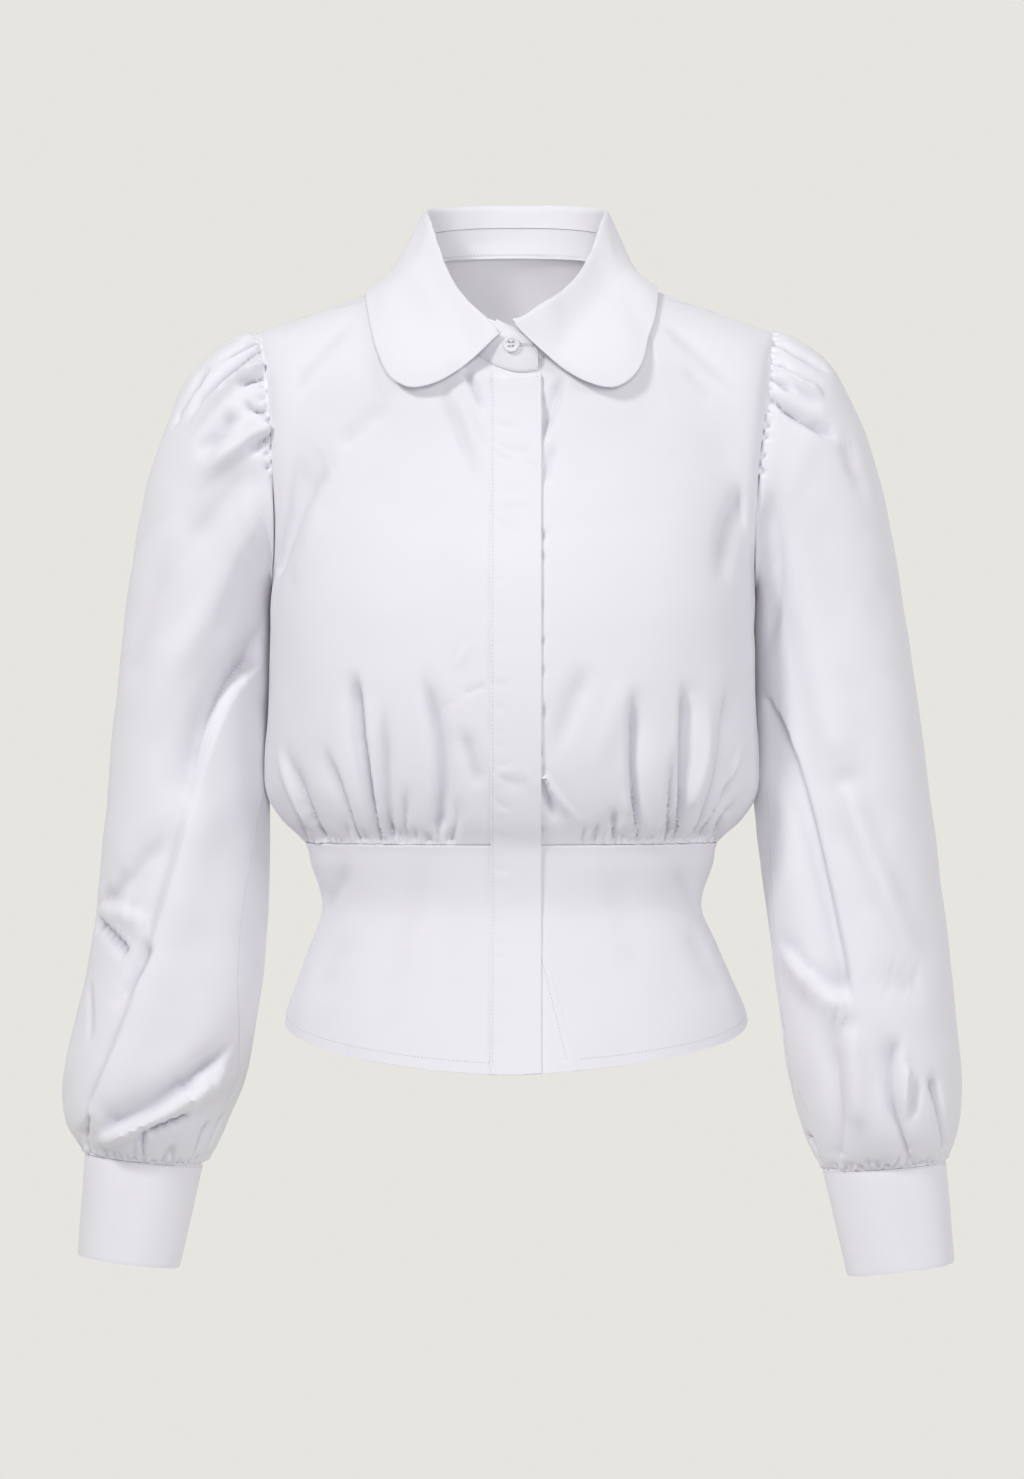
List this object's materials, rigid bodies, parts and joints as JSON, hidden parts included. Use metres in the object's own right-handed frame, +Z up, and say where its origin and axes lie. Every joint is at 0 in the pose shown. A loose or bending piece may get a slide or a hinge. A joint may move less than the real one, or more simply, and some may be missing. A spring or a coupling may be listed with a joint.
{
  "type": "round-collar blouse",
  "caption": "Hollow, filled-out white cotton blouse with a round turn-down collar, covered front closing, full gathered sleeves, deep cuffs and a fitted flared waist panel.",
  "frame": {"origin": "between the wearer's shoulders, in the plane of the shoulder seams, where the wearer carries the blouse", "axes": "+Z up, the front faces -Y, +X to the wearer's left"},
  "size_m": [0.6275, 0.2389, 0.7536],
  "materials": {
    "poplin": "fine matt white poplin",
    "poplin_band": "interfaced white poplin, smooth",
    "button": "soft gloss white"
  },
  "bodies": {
    "root": {"right_front": "poplin", "left_front": "poplin", "back": "poplin", "right_waist_panel": "poplin", "left_waist_panel": "poplin", "back_waist_panel": "poplin", "right_sleeve": "poplin", "left_sleeve": "poplin", "front_placket": "poplin_band", "under_placket": "poplin_band", "collar_stand": "poplin_band", "collar": "poplin_band", "right_cuff": "poplin_band", "left_cuff": "poplin_band", "neck_button": "button", "right_cuff_button_1": "button", "right_cuff_button_2": "button", "left_cuff_button_1": "button", "left_cuff_button_2": "button"}
  },
  "joints": []
}
